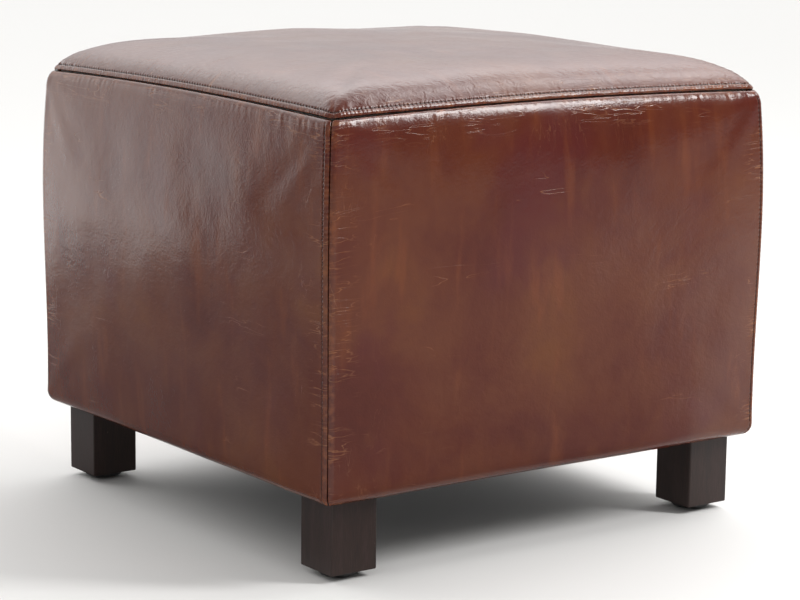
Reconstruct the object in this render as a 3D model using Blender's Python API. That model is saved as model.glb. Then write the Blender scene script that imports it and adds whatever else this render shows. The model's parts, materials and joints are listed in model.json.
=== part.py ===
"""A cube footstool: a sewn leather cover over foam on a timber frame, on four square timber legs.

Units are metres, +Z is up and the front is -Y. The origin is on the floor under the stool's middle.
Every level and every inset below is worked out from the sizes in the first section.
"""

import math

import bmesh
import bpy

# Outside of the body, measured over the leather
BODY_WIDTH = 0.450  # left to right, along X
BODY_DEPTH = 0.450  # front to back, along Y
SEAM_HEIGHT = 0.3045  # from the body's underside up to the seam round the top
CROWN = 0.039  # the top's middle above that seam
CROWN_POWER = 0.30  # under a half gives a steep edge and a broad flat middle
CORNER_RADIUS = 0.010  # the four upright corners
BOTTOM_RADIUS = 0.011  # where the leather turns under
TURN_UNDER = 0.028  # leather below the frame, measured from the body's face

# Cover and upholstery
LEATHER = 0.0014
SIDE_FOAM = 0.010
SEAT_FOAM = 0.060
FOAM_BELOW_SEAM = 0.004
HESSIAN = 0.0010
WEBBING = 0.0015
WEBBING_WIDTH = 0.050
WEBBING_PITCH = 0.115
WEBBING_STRAPS = 3  # each way
WEBBING_FLAT_MARGIN = 0.004  # a strap stays level this far past the strap that it crosses
WEBBING_END_MARGIN = 0.002
DUST_COVER = 0.0008
DUST_COVER_INSET = 0.020

# Frame
HARDBOARD = 0.003
POST_SIDE = 0.040
RAIL_THICKNESS = 0.020
TOP_RAIL_HEIGHT = 0.045
BOTTOM_RAIL_HEIGHT = 0.050

# Legs and what holds them
LEG_SIDE = 0.044
LEG_HEIGHT = 0.060
LEG_INSET = 0.013  # from the body's faces to the leg's
LEG_EDGE_ROUND = 0.0012
BOLT_DIAMETER = 0.008
BOLT_IN_LEG = 0.030
BOLT_PAST_INSERT = 0.003
BOLT_TIP = 0.004
INSERT_DIAMETER = 0.012
INSERT_LENGTH = 0.018
GLIDE_DIAMETER = 0.034
GLIDE_THICKNESS = 0.0055
GLIDE_EDGE_ROUND = 0.003
GLIDE_DOME = 0.0012  # how far the outer part of a glide's face lifts off the floor
GLIDE_FLAT_DIAMETER = 0.018
NAIL_DIAMETER = 0.0025
NAIL_LENGTH = 0.014
NAIL_HEAD_DIAMETER = 0.008
NAIL_HEAD = 0.0010

GAP = 0.0003  # between pieces that touch on the real stool
LEAST_RADIUS = 0.0005  # of a mitred corner that is sharp on the real stool

# Fineness of the meshes
CORNER_STEPS = 3  # in half of an upright corner
BOTTOM_STEPS = 4  # round the edge where the leather turns under
STRAIGHT_STEPS = 6  # along one side of the crowned top
CROWN_RINGS = 9
CROWN_RING_POWER = 2.2  # above one puts the rings closer together near the edge
ROUND_STEPS = 20  # round a bolt, an insert or a nail
GLIDE_STEPS = 32

# Levels, from the floor up
LEG_BOTTOM = GLIDE_THICKNESS + GAP
LEG_TOP = LEG_BOTTOM + LEG_HEIGHT
DUST_COVER_BOTTOM = LEG_TOP + GAP
BODY_BOTTOM = DUST_COVER_BOTTOM + DUST_COVER + GAP
FRAME_BOTTOM = BODY_BOTTOM + LEATHER + GAP
SEAM = BODY_BOTTOM + SEAM_HEIGHT
TOP_RIM = SEAM + GAP
FOAM_TOP = SEAM - FOAM_BELOW_SEAM
FOAM_BOTTOM = FOAM_TOP - SEAT_FOAM
HESSIAN_BOTTOM = FOAM_BOTTOM - GAP - HESSIAN
WEBBING_BOTTOM = HESSIAN_BOTTOM - GAP - WEBBING - GAP - WEBBING
FRAME_TOP = WEBBING_BOTTOM - GAP

# Insets, from the body's faces inward
FOAM_INSET = LEATHER + GAP
BOARD_INSET = FOAM_INSET + SIDE_FOAM + GAP
FRAME_INSET = BOARD_INSET + HARDBOARD + GAP
RAIL_END_INSET = FRAME_INSET + POST_SIDE + GAP
LEG_AXIS_INSET = LEG_INSET + LEG_SIDE / 2

HALF_WIDTH = BODY_WIDTH / 2
HALF_DEPTH = BODY_DEPTH / 2

SIDES = ("front", "right", "back", "left")  # each a quarter turn on from the one before
CORNERS = {
    "front_left": (-1, -1),
    "front_right": (1, -1),
    "back_right": (1, 1),
    "back_left": (-1, 1),
}


def clear_scene():
    for old in list(bpy.data.objects):
        bpy.data.objects.remove(old, do_unlink=True)


def finish(name, colour, roughness, metallic=0.0):
    """A material of one colour, given as linear red, green and blue."""
    made = bpy.data.materials.new(name)
    made.use_nodes = True
    shader = made.node_tree.nodes["Principled BSDF"]
    shader.inputs["Base Color"].default_value = (*colour, 1.0)
    shader.inputs["Roughness"].default_value = roughness
    shader.inputs["Metallic"].default_value = metallic
    return made


def empty(name, parent=None, location=(0, 0, 0)):
    made = bpy.data.objects.new(name, None)
    bpy.context.scene.collection.objects.link(made)
    made.parent = parent
    made.location = location
    return made


def add_object(name, bm, material, parent, location=(0, 0, 0), turn=0.0):
    """The finished mesh as an object, with its faces out and its flat faces kept flat."""
    bmesh.ops.recalc_face_normals(bm, faces=bm.faces)
    mesh = bpy.data.meshes.new(name)
    bm.to_mesh(mesh)
    bm.free()
    mesh.materials.append(material)
    mesh.shade_smooth()
    mesh.set_sharp_from_angle(angle=math.radians(35))
    made = bpy.data.objects.new(name, mesh)
    bpy.context.scene.collection.objects.link(made)
    made.parent = parent
    made.location = location
    made.rotation_euler.z = turn
    return made


def add_box(name, low, high, material, parent, turn=0.0):
    """A box between two corners, given in its parent's axes before the turn about Z."""
    bm = bmesh.new()
    bmesh.ops.create_cube(bm, size=1.0)
    for vert in bm.verts:
        for axis in range(3):
            share = vert.co[axis] + 0.5
            vert.co[axis] = low[axis] + share * (high[axis] - low[axis])
    return add_object(name, bm, material, parent, turn=turn)


def turned_mesh(profile, steps, ring=False):
    """A turned body. The profile lists (radius, height); a ring's profile closes on itself off the axis."""
    bm = bmesh.new()
    rows = []
    for radius, height in profile:
        count = 1 if radius == 0 else steps
        row = []
        for step in range(count):
            angle = 2 * math.pi * step / steps
            row.append(bm.verts.new((radius * math.cos(angle), radius * math.sin(angle), height)))
        rows.append(row)
    pairs = list(zip(rows, rows[1:]))
    if ring:
        pairs.append((rows[-1], rows[0]))
    for upper, lower in pairs:
        for step in range(steps):
            after = (step + 1) % steps
            corners = [upper[step % len(upper)], upper[after % len(upper)]]
            corners += [lower[after % len(lower)], lower[step % len(lower)]]
            bm.faces.new(list(dict.fromkeys(corners)))
    return bm


def drill(obj, axis_at, radius, low, high):
    """A round hole from low to high, upright, at a place given in the object's parent's axes."""
    bm = turned_mesh([(0, high), (radius, high), (radius, low), (0, low)], ROUND_STEPS)
    cutter = add_object(obj.name + "_drill", bm, obj.data.materials[0], obj.parent, (*axis_at, 0))
    cutter.hide_render = True
    cutter.display_type = "WIRE"
    cut = obj.modifiers.new("hole", "BOOLEAN")
    cut.operation = "DIFFERENCE"
    cut.object = cutter


def side_outline(half_along, half_out, inset):
    """One side seen from above, facing -Y, from its left mitre round its two half corners to its right mitre."""
    radius = max(CORNER_RADIUS - inset, LEAST_RADIUS)
    centre_along = half_along - inset - radius
    centre_out = half_out - inset - radius
    last_angle = math.pi / 4 - math.asin(GAP / 2 / radius)
    right = []
    for step in range(CORNER_STEPS + 1):
        angle = last_angle * step / CORNER_STEPS
        along = centre_along + radius * math.sin(angle)
        out = centre_out + radius * math.cos(angle)
        right.append((along, -out))
    left = [(-x, y) for x, y in reversed(right)]
    return left + right


def side_halves(side):
    """Half of the body's length along a side, and half of its depth across it."""
    if side in ("front", "back"):
        return HALF_WIDTH, HALF_DEPTH
    return HALF_DEPTH, HALF_WIDTH


def side_turn(side):
    return SIDES.index(side) * math.pi / 2


def add_mitred_panel(name, side, outer, inner, material, parent):
    """A sheet on one side of the body. Outer and inner list its faces' points as (inset, height), top to bottom."""
    bm = bmesh.new()
    rows = []
    for pair in zip(outer, inner):
        row = []
        for inset, height in pair:
            outline = side_outline(*side_halves(side), inset)
            row.append([bm.verts.new((x, y, height)) for x, y in outline])
        rows.append(row)
    for upper, lower in zip(rows, rows[1:]):
        for face in (0, 1):
            strip = zip(upper[face], upper[face][1:], lower[face][1:], lower[face])
            for corners in strip:
                bm.faces.new(corners)
        for end in (0, -1):
            bm.faces.new((upper[0][end], upper[1][end], lower[1][end], lower[0][end]))
    for outer_edge, inner_edge in (rows[0], rows[-1]):
        for corners in zip(outer_edge, outer_edge[1:], inner_edge[1:], inner_edge):
            bm.faces.new(corners)
    return add_object(name, bm, material, parent, turn=side_turn(side))


def edge_arc(inset, height, radius):
    """Points as (inset, height) round the bottom edge, from a face at that inset to a base at that height."""
    points = []
    for step in range(BOTTOM_STEPS + 1):
        angle = math.pi / 2 * step / BOTTOM_STEPS
        points.append((inset + radius * (1 - math.cos(angle)), height + radius * (1 - math.sin(angle))))
    return points


def add_leather_sides(material, parent):
    outer = [(0, SEAM)] + edge_arc(0, BODY_BOTTOM, BOTTOM_RADIUS) + [(TURN_UNDER, BODY_BOTTOM)]
    inside_bottom = BODY_BOTTOM + LEATHER
    inner = [(LEATHER, SEAM)] + edge_arc(LEATHER, inside_bottom, BOTTOM_RADIUS - LEATHER)
    inner.append((TURN_UNDER, inside_bottom))
    for side in SIDES:
        add_mitred_panel("leather_" + side, side, outer, inner, material, parent)


def add_side_foams(material, parent):
    inside = FOAM_INSET + SIDE_FOAM
    radius = min(BOTTOM_RADIUS - FOAM_INSET, SIDE_FOAM - LEAST_RADIUS)
    outer = [(FOAM_INSET, FOAM_TOP)] + edge_arc(FOAM_INSET, FRAME_BOTTOM, radius)
    inner = [(inside, height) for _, height in outer]
    for side in SIDES:
        add_mitred_panel("side_foam_" + side, side, outer, inner, material, parent)


def body_outline(half_x, half_y, radius):
    """The whole body seen from above, anticlockwise, with the same steps whatever its size."""
    points = []
    for quarter, (sign_x, sign_y) in enumerate(CORNERS.values()):
        centre_x = sign_x * (half_x - radius)
        centre_y = sign_y * (half_y - radius)
        start = math.pi + quarter * math.pi / 2
        for step in range(2 * CORNER_STEPS + 1):
            angle = start + math.pi / 2 * step / (2 * CORNER_STEPS)
            points.append((centre_x + radius * math.cos(angle), centre_y + radius * math.sin(angle)))
        next_x, next_y = list(CORNERS.values())[(quarter + 1) % len(CORNERS)]
        begin_x, begin_y = points[-1]
        end_x = next_x * half_x if quarter % 2 else next_x * (half_x - radius)
        end_y = next_y * (half_y - radius) if quarter % 2 else next_y * half_y
        for step in range(1, STRAIGHT_STEPS):
            share = step / STRAIGHT_STEPS
            points.append((begin_x + share * (end_x - begin_x), begin_y + share * (end_y - begin_y)))
    return points


def crowned_rings(bm, inset, crown):
    """Rings of vertices from the rim of a crowned surface to its middle, the last holding the middle alone."""
    half_x = HALF_WIDTH - inset
    half_y = HALF_DEPTH - inset
    outline = body_outline(half_x, half_y, max(CORNER_RADIUS - inset, LEAST_RADIUS))
    rings = []
    for index in range(CROWN_RINGS):
        scale = 1 - (index / CROWN_RINGS) ** CROWN_RING_POWER
        ring = []
        for x, y in outline:
            reach = max(abs(x) / half_x, abs(y) / half_y)
            across = scale * x / half_x / reach
            along = scale * y / half_y / reach
            rise = crown * ((1 - across**2) * (1 - along**2)) ** CROWN_POWER
            ring.append(bm.verts.new((x * scale, y * scale, TOP_RIM + rise)))
        rings.append(ring)
    rings.append([bm.verts.new((0, 0, TOP_RIM + crown))])
    return rings


def fill_between(bm, ring, other):
    """Triangles between two rings, or from a ring to one middle vertex."""
    count = len(ring)
    for index in range(count):
        after = (index + 1) % count
        bm.faces.new((ring[index], ring[after], other[index % len(other)]))
        if len(other) > 1:
            bm.faces.new((ring[after], other[after], other[index]))


def add_leather_top(material, parent):
    bm = bmesh.new()
    outer = crowned_rings(bm, 0, CROWN)
    inner = crowned_rings(bm, LEATHER, CROWN - LEATHER)
    for rings in (outer, inner):
        for ring, other in zip(rings, rings[1:]):
            fill_between(bm, ring, other)
    fill_between(bm, outer[0], inner[0])
    return add_object("leather_top", bm, material, parent)


def add_crown_wadding(material, parent):
    """Loose fibre that fills the crown, flat below where it lies on the foam."""
    bm = bmesh.new()
    rings = crowned_rings(bm, FOAM_INSET, CROWN - FOAM_INSET)
    for ring, other in zip(rings, rings[1:]):
        fill_between(bm, ring, other)
    base = [bm.verts.new((vert.co.x, vert.co.y, FOAM_TOP + GAP)) for vert in rings[0]]
    fill_between(bm, base, rings[0])
    bm.faces.new(base)
    return add_object("crown_wadding", bm, material, parent)


def add_plan_box(name, inset, bottom, top, material, parent):
    """A slab with the body's plan, less an inset all round."""
    low = (inset - HALF_WIDTH, inset - HALF_DEPTH, bottom)
    high = (HALF_WIDTH - inset, HALF_DEPTH - inset, top)
    return add_box(name, low, high, material, parent)


def add_dust_cover(material, parent):
    top = DUST_COVER_BOTTOM + DUST_COVER
    cover = add_plan_box("dust_cover", DUST_COVER_INSET, DUST_COVER_BOTTOM, top, material, parent)
    for sign_x, sign_y in CORNERS.values():
        drill(cover, leg_axis(sign_x, sign_y), BOLT_DIAMETER / 2 + GAP, DUST_COVER_BOTTOM - GAP, top + GAP)


def strap_levels(strap):
    """Where one strap lies along its length, as (place, is it over the strap that it crosses)."""
    middle = (WEBBING_STRAPS - 1) / 2
    flat = WEBBING_WIDTH / 2 + WEBBING_FLAT_MARGIN
    levels = []
    for crossed in range(WEBBING_STRAPS):
        place = (crossed - middle) * WEBBING_PITCH
        over = (strap + crossed) % 2 == 0
        levels += [(place - flat, over), (place + flat, over)]
    return levels


def add_strap(name, strap, half_span, over_when, turn, material, parent):
    """One strap of plain-woven webbing along X, level on the rails at its ends."""
    middle = (WEBBING_STRAPS - 1) / 2
    centre_y = (strap - middle) * WEBBING_PITCH
    end = half_span - FRAME_INSET - WEBBING_END_MARGIN
    rail_inner = half_span - FRAME_INSET - RAIL_THICKNESS
    stations = [(-end, False), (-rail_inner, False)]
    stations += [(place, over == over_when) for place, over in strap_levels(strap)]
    stations += [(rail_inner, False), (end, False)]
    bm = bmesh.new()
    rows = []
    for place, raised in stations:
        low = WEBBING_BOTTOM + (WEBBING + GAP if raised else 0)
        near = centre_y - WEBBING_WIDTH / 2
        far = centre_y + WEBBING_WIDTH / 2
        section = ((near, low), (far, low), (far, low + WEBBING), (near, low + WEBBING))
        rows.append([bm.verts.new((place, y, z)) for y, z in section])
    for row, after in zip(rows, rows[1:]):
        for index in range(4):
            following = (index + 1) % 4
            bm.faces.new((row[index], row[following], after[following], after[index]))
    bm.faces.new(rows[0])
    bm.faces.new(rows[-1])
    return add_object(name, bm, material, parent, turn=turn)


def add_webbing(material, parent):
    for strap in range(WEBBING_STRAPS):
        add_strap(f"webbing_across_{strap + 1}", strap, HALF_WIDTH, True, 0.0, material, parent)
        # A quarter turn reverses the order of the straps it crosses, which an odd number leaves the same.
        add_strap(f"webbing_along_{strap + 1}", strap, HALF_DEPTH, False, math.pi / 2, material, parent)


def add_side_boards(material, parent):
    """Hardboard on the frame. The front and the back boards cover the ends of the other two."""
    for side in SIDES:
        half_along, half_out = side_halves(side)
        end_inset = BOARD_INSET if side in ("front", "back") else FRAME_INSET
        low = (end_inset - half_along, BOARD_INSET - half_out, FRAME_BOTTOM)
        high = (half_along - end_inset, BOARD_INSET + HARDBOARD - half_out, FRAME_TOP)
        add_box("side_board_" + side, low, high, material, parent, side_turn(side))


def add_rails(material, parent):
    levels = {
        "bottom_rail_": (FRAME_BOTTOM, FRAME_BOTTOM + BOTTOM_RAIL_HEIGHT),
        "top_rail_": (FRAME_TOP - TOP_RAIL_HEIGHT, FRAME_TOP),
    }
    for side in SIDES:
        half_along, half_out = side_halves(side)
        end = half_along - RAIL_END_INSET
        outside = FRAME_INSET - half_out
        for name, (bottom, top) in levels.items():
            low = (-end, outside, bottom)
            high = (end, outside + RAIL_THICKNESS, top)
            add_box(name + side, low, high, material, parent, side_turn(side))


def leg_axis(sign_x, sign_y):
    """Where a leg's bolt stands, seen from above."""
    return sign_x * (HALF_WIDTH - LEG_AXIS_INSET), sign_y * (HALF_DEPTH - LEG_AXIS_INSET)


def add_corner_post(name, sign_x, sign_y, material, parent):
    """A post of the frame, drilled from below for the insert and the end of the bolt."""
    outside = (sign_x * (HALF_WIDTH - FRAME_INSET), sign_y * (HALF_DEPTH - FRAME_INSET))
    inside = (outside[0] - sign_x * POST_SIDE, outside[1] - sign_y * POST_SIDE)
    low = (min(outside[0], inside[0]), min(outside[1], inside[1]), FRAME_BOTTOM)
    high = (max(outside[0], inside[0]), max(outside[1], inside[1]), FRAME_TOP)
    post = add_box("corner_post_" + name, low, high, material, parent)
    hole_top = FRAME_BOTTOM + GAP + INSERT_LENGTH + BOLT_PAST_INSERT + BOLT_TIP
    drill(post, leg_axis(sign_x, sign_y), INSERT_DIAMETER / 2 + GAP, FRAME_BOTTOM - GAP, hole_top)


def add_leg(name, material, parent):
    """A square leg with eased edges, bored above for its bolt and below for its glide's nail."""
    half = LEG_SIDE / 2
    leg = add_box("leg_" + name, (-half, -half, LEG_BOTTOM), (half, half, LEG_TOP), material, parent)
    ease = leg.modifiers.new("eased_edges", "BEVEL")
    ease.width = LEG_EDGE_ROUND
    ease.segments = 2
    drill(leg, (0, 0), BOLT_DIAMETER / 2 + GAP, LEG_TOP - BOLT_IN_LEG - GAP, LEG_TOP + GAP)
    drill(leg, (0, 0), NAIL_DIAMETER / 2 + GAP, LEG_BOTTOM - GAP, LEG_BOTTOM + NAIL_LENGTH + GAP)


def add_leg_bolt(name, material, parent):
    """A hanger bolt: a pointed screw end in the leg and a machine thread in the frame's insert."""
    radius = BOLT_DIAMETER / 2
    bottom = LEG_TOP - BOLT_IN_LEG
    top = FRAME_BOTTOM + GAP + INSERT_LENGTH + BOLT_PAST_INSERT
    profile = [(0, top), (radius * 0.8, top), (radius, top - radius * 0.2)]
    profile += [(radius, bottom + BOLT_TIP), (0, bottom)]
    add_object("hanger_bolt_" + name, turned_mesh(profile, ROUND_STEPS), material, parent)


def add_insert(name, material, parent):
    """A threaded insert, its mouth just inside the end of the post."""
    outer = INSERT_DIAMETER / 2
    inner = BOLT_DIAMETER / 2 + GAP
    bottom = FRAME_BOTTOM + GAP
    top = bottom + INSERT_LENGTH
    profile = [(outer, top), (outer, bottom), (inner, bottom), (inner, top)]
    bm = turned_mesh(profile, ROUND_STEPS, ring=True)
    add_object("thread_insert_" + name, bm, material, parent)


def add_glide(name, plastic, steel, parent):
    """A nail-on glide: a plastic pad with a pocket on top that holds the head of its nail."""
    outer = GLIDE_DIAMETER / 2
    pocket = NAIL_HEAD_DIAMETER / 2 + GAP
    pocket_floor = GLIDE_THICKNESS - NAIL_HEAD - 2 * GAP
    round_start = outer - GLIDE_EDGE_ROUND
    profile = [(0, pocket_floor), (pocket, pocket_floor), (pocket, GLIDE_THICKNESS)]
    profile += [(outer, GLIDE_THICKNESS)]
    for step in range(BOTTOM_STEPS + 1):
        angle = math.pi / 2 * step / BOTTOM_STEPS
        reach = round_start + GLIDE_EDGE_ROUND * math.cos(angle)
        profile.append((reach, GLIDE_DOME + GLIDE_EDGE_ROUND * (1 - math.sin(angle))))
    profile += [(GLIDE_FLAT_DIAMETER / 2, 0), (0, 0)]
    add_object("glide_pad_" + name, turned_mesh(profile, GLIDE_STEPS), plastic, parent)

    head = NAIL_HEAD_DIAMETER / 2
    shank = NAIL_DIAMETER / 2
    head_bottom = pocket_floor + GAP
    head_top = head_bottom + NAIL_HEAD
    tip = LEG_BOTTOM + NAIL_LENGTH
    profile = [(0, tip), (shank, tip - NAIL_DIAMETER), (shank, head_top)]
    profile += [(head, head_top), (head, head_bottom), (0, head_bottom)]
    add_object("glide_nail_" + name, turned_mesh(profile, ROUND_STEPS), steel, parent)


def build_stool():
    clear_scene()
    leather = finish("leather", (0.130, 0.052, 0.036), 0.38)
    fibre = finish("polyester_fibre", (0.800, 0.800, 0.780), 0.95)
    foam = finish("upholstery_foam", (0.720, 0.640, 0.420), 0.95)
    hessian = finish("hessian", (0.420, 0.290, 0.150), 0.95)
    jute = finish("jute_webbing", (0.330, 0.200, 0.090), 0.90)
    cambric = finish("dust_cover_cloth", (0.015, 0.015, 0.016), 0.95)
    board = finish("hardboard", (0.200, 0.110, 0.055), 0.70)
    softwood = finish("softwood", (0.560, 0.380, 0.200), 0.65)
    dark_wood = finish("stained_wood", (0.030, 0.019, 0.018), 0.42)
    steel = finish("zinc_plated_steel", (0.560, 0.560, 0.540), 0.35, 1.0)
    plastic = finish("glide_plastic", (0.012, 0.012, 0.013), 0.45)

    stool = empty("footstool")
    add_leather_top(leather, stool)
    add_leather_sides(leather, stool)
    add_crown_wadding(fibre, stool)
    add_plan_box("seat_foam", BOARD_INSET, FOAM_BOTTOM, FOAM_TOP, foam, stool)
    add_side_foams(foam, stool)
    add_plan_box("hessian", FRAME_INSET, HESSIAN_BOTTOM, HESSIAN_BOTTOM + HESSIAN, hessian, stool)
    add_webbing(jute, stool)
    add_dust_cover(cambric, stool)
    add_side_boards(board, stool)
    add_rails(softwood, stool)
    for name, (sign_x, sign_y) in CORNERS.items():
        add_corner_post(name, sign_x, sign_y, softwood, stool)
        corner = empty("leg_place_" + name, stool, (*leg_axis(sign_x, sign_y), 0))
        add_leg(name, dark_wood, corner)
        add_leg_bolt(name, steel, corner)
        add_insert(name, steel, corner)
        add_glide(name, plastic, steel, corner)


build_stool()
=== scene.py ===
# %% [markdown]
# # A leather cube footstool
#
# The stool is a square block of foam and timber in a sewn cover of aged, waxed cowhide, on four stained
# beech legs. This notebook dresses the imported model: it cuts and sews the leather, stuffs it, finishes the
# wood and the hidden upholstery, and sets a plain studio around it.

# %% Load the frame
import json
import math

import bmesh
import bpy
import numpy as np
from mathutils import Matrix, Vector

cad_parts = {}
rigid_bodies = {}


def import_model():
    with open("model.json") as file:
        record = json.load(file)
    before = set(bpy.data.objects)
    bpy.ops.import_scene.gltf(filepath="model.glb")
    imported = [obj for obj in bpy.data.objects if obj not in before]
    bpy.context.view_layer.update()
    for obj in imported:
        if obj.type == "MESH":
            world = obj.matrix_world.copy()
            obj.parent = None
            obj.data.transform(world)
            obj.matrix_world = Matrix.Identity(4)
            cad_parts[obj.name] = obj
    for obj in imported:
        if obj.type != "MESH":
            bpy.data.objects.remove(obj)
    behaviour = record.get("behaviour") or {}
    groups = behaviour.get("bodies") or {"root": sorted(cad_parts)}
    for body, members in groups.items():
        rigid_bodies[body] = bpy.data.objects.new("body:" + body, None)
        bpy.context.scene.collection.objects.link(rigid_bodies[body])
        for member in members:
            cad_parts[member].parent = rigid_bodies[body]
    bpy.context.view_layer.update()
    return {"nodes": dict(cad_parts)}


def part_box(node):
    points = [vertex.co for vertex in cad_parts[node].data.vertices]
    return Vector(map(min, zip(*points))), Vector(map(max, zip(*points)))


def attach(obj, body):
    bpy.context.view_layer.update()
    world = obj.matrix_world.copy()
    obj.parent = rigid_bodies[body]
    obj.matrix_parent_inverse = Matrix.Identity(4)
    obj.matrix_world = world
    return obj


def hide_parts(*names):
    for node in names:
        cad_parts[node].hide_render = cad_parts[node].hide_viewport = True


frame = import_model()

# %% [markdown]
# ## Sizes
#
# Every level comes from the frame, so the cover always fits the body under it. The rest are sizes of the
# cover itself: how far the stuffing swells it, how tight its edges are, and how it is sewn.

# %% Sizes of the body and the cover
MM = 0.001
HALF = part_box("leather_top")[1].x
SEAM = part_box("leather_front")[1].z
BODY_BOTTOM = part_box("leather_front")[0].z
SIDE_HEIGHT = SEAM - BODY_BOTTOM
TURN_UNDER = 28 * MM
CORNER_RADIUS = 9 * MM
BOTTOM_RADIUS = 11 * MM
LEATHER = 1.3 * MM
STITCH_PITCH = 4 * MM
BAND = 5.5 * MM
JOIN_GAP = 0.12 * MM
ROLL_HEIGHT = 14 * MM
ROLL_DEPTH = 5.4 * MM
print(f"body {2 * HALF:.3f} m wide, from {BODY_BOTTOM:.4f} m up to a seam at {SEAM:.4f} m")

SIDES = ("front", "right", "back", "left")


def srgb(code):
    """A hex colour as the linear values that shaders use."""
    values = [int(code[index : index + 2], 16) / 255 for index in (1, 3, 5)]
    linear = [v / 12.92 if v <= 0.04045 else ((v + 0.055) / 1.055) ** 2.4 for v in values]
    return (*linear, 1.0)


def smooth_step(low, high, value):
    share = np.clip((value - low) / (high - low), 0, 1)
    return share * share * (3 - 2 * share)


# %% [markdown]
# ## The camera
#
# A long lens from a little above the top, looking at one corner. It comes first, so that every piece can be
# judged from here while it is made.

# %% Camera
CAMERA_YAW = math.radians(53.88)
CAMERA_PITCH = math.radians(10.62)
CAMERA_ROLL = math.radians(0.72)
camera_data = bpy.data.cameras.new("camera")
camera_data.sensor_width = 36
camera_data.lens = 116.9
camera = bpy.data.objects.new("camera", camera_data)
turn = Matrix.Rotation(CAMERA_YAW - math.pi / 2, 4, "Z")
tilt = Matrix.Rotation(math.pi / 2 - CAMERA_PITCH, 4, "X")
lean = Matrix.Rotation(CAMERA_ROLL, 4, "Z")
camera.matrix_world = Matrix.Translation((-1.339, -1.844, 0.602)) @ turn @ tilt @ lean
bpy.context.scene.collection.objects.link(camera)
bpy.context.scene.camera = camera
print(f"camera with a {camera_data.lens} mm lens, {math.degrees(CAMERA_PITCH):.1f} degrees down")

# %% [markdown]
# ## The form of the stuffed body
#
# Foam under tight leather never stays a box. The corners swell about a third of the way down, the faces
# swell a little more in their middles, and the top edge rolls over into the seam. The seam is pulled down
# where it is tied to the corners, so it bows up between them. The form could be sculpted. It is a few smooth
# functions instead, because the panels, the stitches and the padding must all land on the same surface.


# %% Side form
def side_swell(share):
    """How far the corners stand out of the plain box, from the underside at 0 to the seam at 1."""
    return (1.9 + 3.8 * np.sin(np.pi * np.clip(share, 0, 1) ** 1.7) + 2.7 * (1 - share) ** 2) * MM


def side_profile():
    """Points down a side's middle as (outset, height), from the seam to the tacked end under the body."""
    heights = SEAM - (SIDE_HEIGHT - BOTTOM_RADIUS) * np.linspace(0, 1, 240) ** 2
    share = (heights - BODY_BOTTOM) / SIDE_HEIGHT
    inside_roll = np.clip(1 - (SEAM - heights) / ROLL_HEIGHT, 0, 1)
    roll = ROLL_DEPTH * (1 - np.sqrt(1 - 0.98 * inside_roll**2))
    outset = side_swell(share) - roll
    angle = np.linspace(0, np.pi / 2, 24)[1:]
    under = outset[-1] - BOTTOM_RADIUS * (1 - np.cos(angle))
    under_height = BODY_BOTTOM + BOTTOM_RADIUS * (1 - np.sin(angle))
    outset = np.concatenate([outset, under, [-TURN_UNDER]])
    heights = np.concatenate([heights, under_height, [BODY_BOTTOM]])
    return outset, heights


PROFILE_OUT, PROFILE_HEIGHT = side_profile()
steps = np.hypot(np.diff(PROFILE_OUT), np.diff(PROFILE_HEIGHT))
PROFILE_LENGTH = np.concatenate([[0], np.cumsum(steps)])
PANEL_HEIGHT = PROFILE_LENGTH[-1]
BOTTOM_OUT = PROFILE_OUT[239]
SEAM_BOW = 4 * MM
FACE_SWELL = 4.5 * MM
PANEL_WIDTH = 2 * (HALF + PROFILE_OUT[0] - CORNER_RADIUS * (1 - np.pi / 4))
print(f"a side panel is cut {PANEL_WIDTH:.3f} m wide and {PANEL_HEIGHT:.3f} m high")


def place_on_side(across, down):
    """Places on the side facing -Y: across from -1 to 1 between the mitres, down in metres from the seam."""
    outset = np.interp(down, PROFILE_LENGTH, PROFILE_OUT)
    height = np.interp(down, PROFILE_LENGTH, PROFILE_HEIGHT)
    half = HALF + outset
    drawn_in = np.maximum(BOTTOM_OUT - outset, 0) * (height < BODY_BOTTOM + BOTTOM_RADIUS)
    radius = np.maximum(CORNER_RADIUS - drawn_in, 0.5 * MM)
    flat = half - radius
    along = np.abs(across) * (flat + radius * np.pi / 4)
    angle = np.clip((along - flat) / radius, 0, np.pi / 4)
    x = np.where(along > flat, flat + radius * np.sin(angle), along) * np.sign(across)
    back = radius * (1 - np.cos(angle))
    share = np.clip((height - BODY_BOTTOM) / SIDE_HEIGHT, 0, 1)
    middle = 1 - np.clip(x / half, -1, 1) ** 2
    swell = FACE_SWELL * middle * np.sin(np.pi * share**1.2) ** 0.8
    bow = SEAM_BOW * middle * share**3
    return np.stack([x, -(half - back) - swell, height + bow], axis=-1)


# %% [markdown]
# The top is a flat square of leather pulled over loose fibre. It climbs steeply out of the seam, rolls
# over within a few centimetres and is nearly flat in the middle. Its cut size is measured along that curve,
# so a length on the flat panel is the same length on the stool, and grain and stitches keep their scale.

# %% Top form
EDGE_RISE = 24 * MM
EDGE_EASE = 0.07
DOME_RISE = 9 * MM
CORNER_FULLNESS = 6
TOP_HALF = HALF + PROFILE_OUT[0]


def edge_shape(place):
    return np.clip(1 - np.abs(place) ** 14, 1e-6, 1)


def top_height(across, along):
    power = -CORNER_FULLNESS
    edge = (edge_shape(across) ** power + edge_shape(along) ** power - 1) ** (1 / power)
    edge = (np.sqrt(edge + EDGE_EASE) - EDGE_EASE**0.5) / ((1 + EDGE_EASE) ** 0.5 - EDGE_EASE**0.5)
    dome = (1 - across**2) * (1 - along**2)
    bow = 1 - across**2 * along**2
    return SEAM + EDGE_RISE * edge + DOME_RISE * dome + SEAM_BOW * bow


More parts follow.
